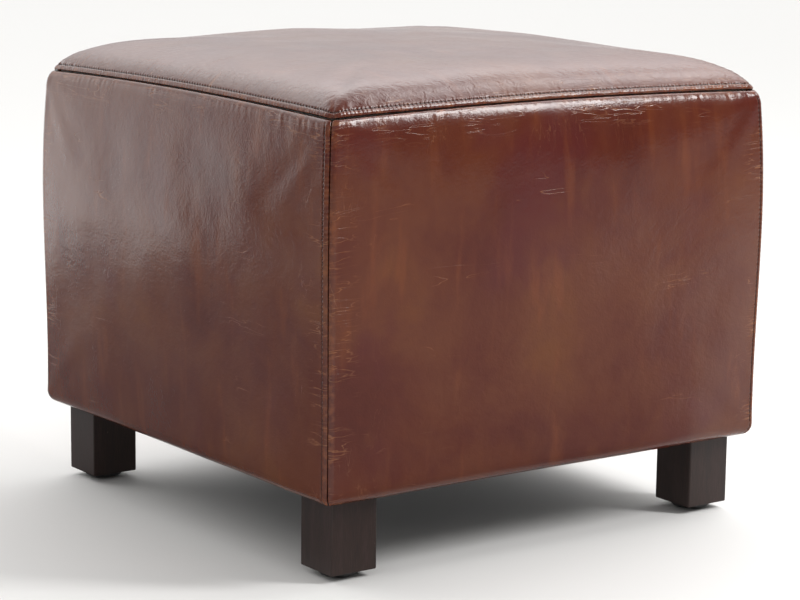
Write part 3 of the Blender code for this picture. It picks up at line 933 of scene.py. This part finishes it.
# %% [markdown]
# ## Padding
#
# Under the leather lie loose polyester fibre, a block of foam and four thin foams. Each starts as a closed
# body that fills the room behind its panel. It is remeshed evenly, drawn in a little, and blown up against a
# cap by the cloth simulation, which rounds its edges the way a squeezed pad rounds.

# %% How a pad is made
PAD_CELL = 5 * MM
PAD_PRESSURE = 4.0
PAD_FRAMES = 12


def grid_on_panel(number, left, near, far):
    """A grid over a panel's flat blank, inside its margins, as flat points, faces and point numbers."""
    width, height = PANEL_SIZES[number]
    flat, quads, index = regular_grid((left, near), (width - left, height - far), PAD_CELL)
    return flat, (quads if number == 0 else quads[:, ::-1]).tolist(), index


def slab(outer, faces, inner, index):
    """A closed body between a grid of points and a second one behind it."""
    count = len(outer)
    rim = np.concatenate([index[0, :-1], index[:-1, -1], index[-1, :0:-1], index[:0:-1, 0]])
    walls = [[a, b, b + count, a + count] for a, b in zip(rim, np.roll(rim, -1))]
    behind = [[corner + count for corner in face[::-1]] for face in faces]
    mesh = make_mesh("slab", np.concatenate([outer, inner]), faces + behind + walls)
    bm = bmesh.new()
    bm.from_mesh(mesh)
    bmesh.ops.recalc_face_normals(bm, faces=bm.faces)
    bm.to_mesh(mesh)
    bm.free()
    return mesh


def mesh_arrays(mesh):
    points = np.zeros(len(mesh.vertices) * 3, np.float32)
    mesh.vertices.foreach_get("co", points)
    return points.reshape(-1, 3).astype(float), [list(face.vertices) for face in mesh.polygons]


def stuff(name, mesh, voxel, drawn_in, cap):
    """A pad from a closed mesh: even cells, drawn in, then blown up by pressure as far as the cap."""
    rough = link_object("rough", mesh)
    remesh = rough.modifiers.new("remesh", "REMESH")
    remesh.mode = "VOXEL"
    remesh.voxel_size = voxel
    even = bpy.data.meshes.new_from_object(rough.evaluated_get(bpy.context.evaluated_depsgraph_get()))
    bpy.data.objects.remove(rough)
    points, faces = mesh_arrays(even)
    points = push_out(points, faces, np.full(len(points), -drawn_in))
    moved = np.zeros_like(points)
    moved = run_cloth(points, faces, PAD_PRESSURE, PAD_FRAMES) - points
    length = np.linalg.norm(moved, axis=1, keepdims=True)
    points = points + moved * np.minimum(1, cap / np.maximum(length, 1e-9))
    made = make_mesh(name, points, faces)
    made.shade_smooth()
    pad = link_object(name, made)
    print(f"{name}: {len(faces)} faces")
    return pad


def behind_leather(number, flat, faces):
    """The room's outer wall: the leather's inner face, and a little deeper along the joins."""
    to_join = np.minimum(hold_of(number, flat), 40 * MM)
    depth = 2.6 * MM + 3 * MM * np.exp(-((to_join / (7 * MM)) ** 2))
    return push_out(form(number, flat), faces, -depth)


# %% [markdown]
# The fibre fills the crown between the leather and the foam block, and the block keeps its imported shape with
# softened edges. The side foams are alike, so one is simulated and turned to the other three sides.

# %% Fibre, foam block and side foams
foam_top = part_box("seat_foam")[1].z
flat, faces, index = grid_on_panel(0, 5 * MM, 5 * MM, 5 * MM)
outer = behind_leather(0, flat, faces)
outer[:, 2] = np.maximum(outer[:, 2], foam_top + 2.5 * MM)
inner = np.column_stack([outer[:, :2], np.full(len(outer), foam_top + 0.8 * MM)])
wadding = stuff("crown_fibre", slab(outer, faces, inner, index), 5 * MM, 0.5 * MM, 0.6 * MM)
block = stuff("foam_block", frame["nodes"]["seat_foam"].data.copy(), 6 * MM, 1.2 * MM, 1.1 * MM)

low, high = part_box("side_foam_front")
side_pads = {}
flat, faces, index = grid_on_panel(1, 6 * MM, 8 * MM, TURN_UNDER + 12 * MM)
outer = behind_leather(1, flat, faces)
outer[:, 2] = np.clip(outer[:, 2], low.z + 0.5 * MM, high.z - 0.5 * MM)
reach = np.abs(high.y) - 0.6 * MM
back = np.full(len(outer), high.y - 0.5 * MM)
inner = np.column_stack([np.clip(outer[:, 0], -reach, reach), back, outer[:, 2]])
first_pad = stuff("side_pad_front", slab(outer, faces, inner, index), 4.5 * MM, 0.5 * MM, 0.5 * MM)
first_points, first_faces = mesh_arrays(first_pad.data)
side_pads["front"] = first_pad
for side in SIDES[1:]:
    mesh = make_mesh(f"side_pad_{side}", turned_to(side, first_points), first_faces)
    mesh.shade_smooth()
    side_pads[side] = link_object(f"side_pad_{side}", mesh)


# %% [markdown]
# Neither filling is seen while the cover is sewn up, but a cut-away shows both: white, matted tufts, and
# cream foam with open cells. Most small finishes need only one fine pattern, so one function makes them.

# %% Fibre and foam
# Loose white hollow fibre: matte, with tufts 12 mm across.
fibre = one_pattern_finish(
    "polyester_fibre",
    ("TexNoise", {"Scale": 80.0, "Detail": 6.0, "Roughness": 0.7}, {}),
    ((0.3, "#d9d8d3"), (0.7, "#f3f3f1")),
    None,
    (1.0, 0.002),
    {"Roughness": 0.95, "Sheen Weight": 0.3},
)
# Cut polyether foam: cream, yellowed in places and matte. Its open cells are drawn at 1.5 mm, so that they
# show.
foam = one_pattern_finish(
    "polyurethane_foam",
    ("TexNoise", {"Scale": 14.0, "Detail": 3.0}, {}),
    ((0.35, "#d8c89c"), (0.7, "#e8deb8")),
    ("TexVoronoi", {"Scale": 660.0}, {}),
    (0.8, 0.0005),
    {"Roughness": 0.9},
)
pads = [
    (wadding, "crown_wadding", fibre, "polyester_fibre", 0.7),
    (block, "seat_foam", foam, "upholstery_foam", 1.0),
]
pads += [(side_pads[side], f"side_foam_{side}", foam, "upholstery_foam", 1.0) for side in SIDES]
for pad, node_name, material, slot_name, fill in pads:
    pad.data.materials.clear()
    pad.data.materials.append(material)
    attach(pad, "root")
    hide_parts(node_name)

# %% [markdown]
# ## Webbing, hessian and dust cover
#
# Six jute straps are woven over and under each other and tacked to the top rails. Hessian over them keeps
# the straps from cutting the foam. Below, a black non-woven cover with its edge folded in is stapled over
# the tacked leather. All three are thin sheets: a grid with the right rise and fall, then a thickness. A
# cloth simulation would change little, because they are stretched tight.


# %% Thin sheets and weaves
def sheet_object(name, points, faces, thickness, material, node_name):
    mesh = make_mesh(name, points, faces)
    mesh.shade_smooth()
    made = link_object(name, mesh)
    solid = made.modifiers.new("thickness", "SOLIDIFY")
    solid.thickness = thickness
    solid.offset = 0
    made.data.materials.append(material)
    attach(made, "root")
    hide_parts(node_name)
    return made


def plain_weave(name, dark, light, thread_spacing):
    """A plain weave of natural yarn: threads that pass over and under, with slubs and stray colour."""
    material, tree = new_material(name)
    place = add_node(tree, "TexCoord", output="Object")
    # A wave texture has 20 / (2 pi) bands for each unit of scale.
    threads = {"Vector": place, "Scale": 1 / thread_spacing * 2 * math.pi / 20, "Distortion": 0.6}
    warp = add_node(tree, "TexWave", threads, bands_direction="X")
    weft = add_node(tree, "TexWave", threads, bands_direction="Y")
    weave = add_node(tree, "Math", {"Value": warp}, second=weft, operation="MULTIPLY")
    slub = add_node(tree, "TexNoise", {"Vector": place, "Scale": 120.0, "Detail": 3.0})
    shade = add_node(tree, "Math", {"Value": weave}, second=slub, operation="ADD")
    colour = add_node(tree, "ValToRGB", {"Fac": shade}, stops=((0.35, srgb(dark)), (1.0, srgb(light))))
    bump = add_node(tree, "Bump", {"Height": weave, "Strength": 1.0, "Distance": 0.0004})
    return finish_shader(material, {"Base Color": colour, "Normal": bump, "Roughness": 0.92})


# %% [markdown]
# A strap is 50 mm wide and as thick as its weave. It follows the rise and fall that the frame gives it at
# each crossing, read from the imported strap's own corners, and one subdivision rounds its bends.

# %% Straps
jute = plain_weave("jute_webbing", "#6b5236", "#a98b60", 2.4 * MM)
for node_name, node in frame["nodes"].items():
    if not node_name.startswith("webbing"):
        continue
    low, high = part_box(node_name)
    corners, _ = mesh_arrays(node.data)
    run_axis = 0 if high.x - low.x > high.y - low.y else 1
    stations = np.unique(np.round(corners[:, run_axis], 5))
    levels = [corners[np.abs(corners[:, run_axis] - station) < 2e-5][:, 2].mean() for station in stations]
    plan, faces, _ = regular_grid(low, high, 2.5 * MM)
    lift = np.interp(plan[:, run_axis], stations, levels)
    strap = sheet_object(
        node_name.replace("webbing", "jute_strap"),
        np.column_stack([plan, lift]),
        faces.tolist(),
        1.3 * MM,
        jute,
        node_name,
    )
    strap.modifiers.new("soft", "SUBSURF").levels = 1

# %% [markdown]
# Hessian is a coarse jute cloth, tacked flat with a faint ripple between its tacks. Its threads are 1.8 mm
# apart. They are in the material, because as geometry they would be far too many.

# %% Hessian
low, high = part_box("hessian")
plan, faces, _ = regular_grid(low, high, 5 * MM)
ripple = 0.12 * MM * np.sin(plan[:, 0] * 95 + 1.3 * np.sin(plan[:, 1] * 40)) * np.cos(plan[:, 1] * 80)
hessian = sheet_object(
    "hessian_cloth",
    np.column_stack([plan, (low.z + high.z) / 2 + ripple]),
    faces.tolist(),
    0.6 * MM,
    plain_weave("hessian", "#7d6744", "#c0a679", 1.8 * MM),
    "hessian",
)

# %% [markdown]
# The dust cover is cut square, folded in at its edge and stapled every 36 mm. It sags a little between its
# staples and the legs, and each staple pinches it. The sag is a sum of a few waves, held at the edge and
# round each leg.

# %% Dust cover
# Black spunbonded polypropylene: a thin felt with a grid of tiny weld points. They are drawn at 3 mm, so
# that they show.
spunbond = one_pattern_finish(
    "spunbond",
    ("TexNoise", {"Scale": 420.0, "Detail": 5.0, "Roughness": 0.7}, {}),
    ((0.3, "#131314"), (0.7, "#2b2b2d")),
    ("TexVoronoi", {"Scale": 330.0, "Randomness": 0.0}, {}),
    (0.7, 0.0003),
    {"Roughness": 0.85},
)
HEM = 16 * MM
STAPLE_SPACING = 36 * MM
LEG_CLEARANCE = 24 * MM
leg_low, leg_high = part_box("leg_back_right")
leg_at = (leg_low.x + leg_high.x) / 2
low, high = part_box("dust_cover")
plan, faces, _ = regular_grid(low, high, 2.5 * MM)
half_cover = high.x
edge = half_cover - np.abs(plan).max(axis=1)
from_leg = np.linalg.norm(np.maximum(np.abs(np.abs(plan) - leg_at) - LEG_CLEARANCE, 0), axis=1)
slack = smooth_step(0, 60 * MM, np.minimum(edge, from_leg)) * smooth_step(0, 6 * MM, from_leg)
along_edge = np.where(np.abs(plan[:, 0]) > np.abs(plan[:, 1]), plan[:, 1], plan[:, 0])
pinch = np.cos(2 * np.pi * along_edge / STAPLE_SPACING)
hem = -0.25 * MM * (1 - smooth_step(HEM - 1.5 * MM, HEM, edge)) * smooth_step(0, 4 * MM, from_leg)
waves = 0.35 * MM * np.sin(plan[:, 0] * 38 + 2 * np.sin(plan[:, 1] * 21)) * np.cos(plan[:, 1] * 33)
drawn = 0.3 * MM * pinch * np.exp(-(((edge - 9 * MM) / (12 * MM)) ** 2)) * smooth_step(0, 10 * MM, from_leg)
level = (low.z + high.z) / 2 + hem + (waves - 1.6 * MM) * slack + drawn
dust_cover = sheet_object(
    "dust_cover_cloth",
    np.column_stack([plan, level]),
    faces.tolist(),
    0.5 * MM,
    spunbond,
    "dust_cover",
)

staple_at = np.arange(-4, 5) * STAPLE_SPACING
for side in SIDES:
    inset = np.full(len(staple_at), 9 * MM - half_cover)
    row = np.column_stack([staple_at, inset, np.full(len(staple_at), low.z - 0.45 * MM)])
    places = turned_to(side, row)
    ahead = turned_to(side, np.tile([1.0, 0, 0], (len(row), 1)))
    down = np.tile([0, 0, -1.0], (len(row), 1))
    staples = bars(f"staples_{side}", places, ahead, down, 10 * MM, 0.9 * MM, 0.25 * MM)
    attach(staples, "root")

# %% [markdown]
# ## Wood, board, steel and plastic
#
# The legs are beech, turned dark by a brown stain under a thin lacquer, with a few pale scuffs. The hidden
# frame is planed softwood. Grain is noise stretched along each piece, broad rings with fine fibres on them.


# %% Wood
def wood(name, dark, light, grain, axis, ring_mm, roughness, scuff_colour=None):
    """Long grain along one axis: broad rings with fine fibres, and pale scuffs where a colour is given."""
    material, tree = new_material(name)
    place = add_node(tree, "TexCoord", output="Object")
    stretch = [1.0, 1.0, 1.0]
    stretch[axis] = 0.06
    long = add_node(tree, "Mapping", {"Vector": place, "Scale": stretch})
    ring_noise = {"Vector": long, "Scale": 1 / (ring_mm * MM), "Detail": 3.0, "Distortion": 0.8}
    rings = add_node(tree, "TexNoise", ring_noise)
    fibres = add_node(tree, "TexNoise", {"Vector": long, "Scale": 1600.0, "Detail": 3.0})
    share = add_node(tree, "Math", {"Value": rings}, second=fibres, operation="ADD")
    share = add_node(tree, "Math", {"Value": share}, second=0.5, operation="MULTIPLY")
    stops = ((0.36, srgb(dark)), (0.66, srgb(light)), (0.5, srgb(grain)))
    colour = add_node(tree, "ValToRGB", {"Fac": share}, stops=stops)
    if scuff_colour:
        scuff_noise = {"Vector": place, "Scale": 210.0, "Detail": 4.0, "Roughness": 0.7}
        scuff = add_node(tree, "TexNoise", scuff_noise)
        scuffs = add_node(tree, "MapRange", {"Value": scuff, "From Min": 0.70, "From Max": 0.76})
        inputs = {"Factor": scuffs, "A": colour, "B": srgb(scuff_colour)}
        colour = add_node(tree, "Mix", inputs, data_type="RGBA")
    bump = add_node(tree, "Bump", {"Height": share, "Strength": 0.5, "Distance": 0.0002})
    span = {"Value": rings, "To Min": roughness - 0.06, "To Max": roughness + 0.08}
    rough = add_node(tree, "MapRange", span)
    values = {"Base Color": colour, "Roughness": rough, "Normal": bump, "IOR": 1.45}
    return finish_shader(material, values)


beech = wood("stained_beech", "#1c0e0d", "#33201f", "#27160f", 2, 9, 0.46, "#6c5a50")
pine = []
for axis, letter in enumerate("xyz"):
    pine.append(wood(f"planed_softwood_{letter}", "#a9824f", "#dcc08c", "#c9a871", axis, 5, 0.6))


# %% [markdown]
# The board, the fasteners and the glides are small and mostly hidden. Each still has its own material, so
# that a cut-away or a view from below reads true.

# %% Hardboard, zinc plate and polyethylene
# Oil-tempered hardboard: pressed wood fibre, brown and faintly flecked.
hardboard = one_pattern_finish(
    "hardboard",
    ("TexNoise", {"Scale": 500.0, "Detail": 5.0, "Roughness": 0.75}, {}),
    ((0.3, "#5b4029"), (0.75, "#8a6a48")),
    None,
    (0.4, 0.0002),
    {"Roughness": 0.6},
)
# Moulded black polyethylene: satin, finely textured by its mould, scuffed grey by the floor.
polyethylene = one_pattern_finish(
    "moulded_polyethylene",
    ("TexNoise", {"Scale": 380.0, "Detail": 4.0, "Roughness": 0.65}, {}),
    ((0.45, "#151516"), (0.8, "#3c3b3b")),
    None,
    (0.5, 0.0002),
    {"Roughness": 0.45},
)


def zinc_plated_steel():
    """Bright zinc plate: a cool grey metal, clouded, with a gloss that varies with the clouds."""
    material, tree = new_material("zinc_plated_steel")
    place = add_node(tree, "TexCoord", output="Object")
    cloud = add_node(tree, "TexNoise", {"Vector": place, "Scale": 300.0, "Detail": 4.0})
    stops = ((0.3, srgb("#a9aaa8")), (0.7, srgb("#cfd0ce")))
    colour = add_node(tree, "ValToRGB", {"Fac": cloud}, stops=stops)
    rough = add_node(tree, "MapRange", {"Value": cloud, "To Min": 0.25, "To Max": 0.42})
    return finish_shader(material, {"Base Color": colour, "Roughness": rough, "Metallic": 1.0})


steel = zinc_plated_steel()

# %% [markdown]
# The rigid pieces keep their own shapes, which are right already, and take their finishes by name. A rail's
# grain runs along it, and a post's runs upwards.

# %% Finish the rigid pieces
finishes = {
    "leg_": beech,
    "glide_pad": polyethylene,
    "glide_nail": steel,
    "hanger_bolt": steel,
    "thread_insert": steel,
    "side_board": hardboard,
    "corner_post": pine[2],
}
for node_name, node in frame["nodes"].items():
    low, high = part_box(node_name)
    finish = next((material for start, material in finishes.items() if node_name.startswith(start)), None)
    if "rail" in node_name:
        finish = pine[0] if high.x - low.x > high.y - low.y else pine[1]
    if finish is not None:
        node.data.materials.clear()
        node.data.materials.append(finish)
        print(f"{node_name}: {finish.name}")
for side in SIDES:
    bpy.data.objects[f"staples_{side}"].data.materials.append(steel)

# %% [markdown]
# ## Studio
#
# A plain pale floor and soft light. Waxed leather shows its light sources more than its colour, so they are
# placed by what the leather mirrors: a key on the rolled edge of the front, a box over the top's front edge,
# and a low bright wall behind the left side. The lowest part of that side mirrors painted shade laid on the
# floor, and stays dark. The floor runs far past the view, so no horizon shows.

# %% Floor
FLOOR_REACH = 60
floor_corners = np.array([(-1, -1, 0), (1, -1, 0), (1, 1, 0), (-1, 1, 0)]) * FLOOR_REACH
floor_mesh = make_mesh("studio_floor", floor_corners, [(0, 1, 2, 3)])
floor = link_object("studio_floor", floor_mesh)
floor_material, _ = new_material("studio_floor")
finish_shader(floor_material, {"Base Color": srgb("#dcdbd9"), "Roughness": 0.9})
floor_mesh.materials.append(floor_material)

# %% [markdown]
# The room could be an even grey. It is brightest in a broad band behind the stool, 25 to 60 degrees up, and
# dim in front, because the crown mirrors that band, and it gives the crown its even sheen.

# %% Room
BEHIND = (0.50, 0.86, 0.0)
BRIGHTNESS_BY_HEIGHT = ((0.12, 0.19), (1.00, 0.38), (0.40, 0.42), (0.62, 1.00), (0.80, 0.80))
world = bpy.data.worlds.new("studio")
world.use_nodes = True
world_tree = world.node_tree
background = world_tree.nodes["Background"]
direction = add_node(world_tree, "TexCoord", output="Generated")
facing = {"operation": "DOT_PRODUCT", "second": BEHIND, "output": "Value"}
behind = add_node(world_tree, "VectorMath", {"Vector": direction}, **facing)
height = add_node(world_tree, "SeparateXYZ", {"Vector": direction}, output="Z")
span = {"Value": behind, "From Min": -0.1, "From Max": 0.60, "To Min": 0.8, "To Max": 4.0}
around = add_node(world_tree, "MapRange", span, interpolation_type="SMOOTHSTEP")
stops = [(height_share, (grey, grey, grey, 1)) for height_share, grey in BRIGHTNESS_BY_HEIGHT]
upward = add_node(world_tree, "ValToRGB", {"Fac": height}, stops=stops)
strength = add_node(world_tree, "Math", {"Value": around}, second=upward, operation="MULTIPLY")
world_tree.links.new(strength, background.inputs["Strength"])
background.inputs["Color"].default_value = (1, 1, 1, 1)
bpy.context.scene.world = world
bpy.context.scene.view_settings.view_transform = "Standard"


# %% [markdown]
# Each softbox is a large rectangle of light, because waxed leather shows a small lamp as a hard spot. Its
# strength is given as radiance, so a change of size does not change how bright its reflection is.


# %% Softboxes
def add_light(name, place, aim, size, radiance):
    """A softbox: a rectangle of even light that points at a place."""
    data = bpy.data.lights.new(name, "AREA")
    data.shape = "RECTANGLE"
    data.size, data.size_y = size
    data.energy = radiance * math.pi * size[0] * size[1]
    light = bpy.data.objects.new(name, data)
    light.location = place
    light.rotation_euler = (Vector(aim) - Vector(place)).to_track_quat("-Z", "Y").to_euler()
    light.visible_camera = False
    bpy.context.scene.collection.objects.link(light)
    print(f"{name}: {size[0]} m by {size[1]} m, radiance {radiance}")


add_light("key", (1.19, -1.38, 1.56), (-0.05, -0.2, 0.35), (0.42, 1.0), 26.0)
add_light("top_box", (1.40, -0.30, 2.10), (0, -0.1, 0.4), (1.1, 0.9), 4.5)
add_light("left_fill", (-1.9, -1.3, 1.1), (0, 0, 0.25), (1.5, 1.3), 0.6)
add_light("left_wall", (-0.58, 1.27, 0.40), (-0.2, 0, 0.40), (1.06, 0.8), 1.25)


# %% [markdown]
# The pale floor would wash out the lower sides, which mirror it. Three dark sheets on the floor paint shade
# into that reflection, as if the floor there lay in shadow. Only mirrored rays see them: they are hidden from
# the camera and cast no shade, so the floor itself stays plain.


# %% Painted shade on the floor
PAINTED_SHADE_HEIGHT = 4 * MM


def add_painted_shade(name, corners, colour):
    """A dark sheet on the floor that only mirrored rays see: painted shade in the reflections of the lower
    sides.
    """
    mesh = make_mesh(name, np.array([(x, y, PAINTED_SHADE_HEIGHT) for x, y in corners]), [(0, 1, 2, 3)])
    shade_sheet = link_object(name, mesh)
    material, _ = new_material(name)
    mesh.materials.append(finish_shader(material, {"Base Color": srgb(colour), "Roughness": 0.95}))
    shade_sheet.visible_camera = False
    shade_sheet.visible_diffuse = False
    shade_sheet.visible_shadow = False
    print(f"{name}: {colour}")


add_painted_shade("left_painted_shade", [(-0.24, -0.2), (-0.10, 1.22), (-1.10, 0.95), (-1.2, 0.2)], "#8a8a8a")
add_painted_shade("far_left_painted_shade", [(-1.05, 0.9), (-1.12, 1.2), (-2.2, 3.4), (-3.0, 2.6)], "#3c3c3c")
add_painted_shade("front_painted_shade", [(-0.23, -0.26), (0.6, -2.6), (2.0, -2.2), (0.2, -0.26)], "#a2a2a2")
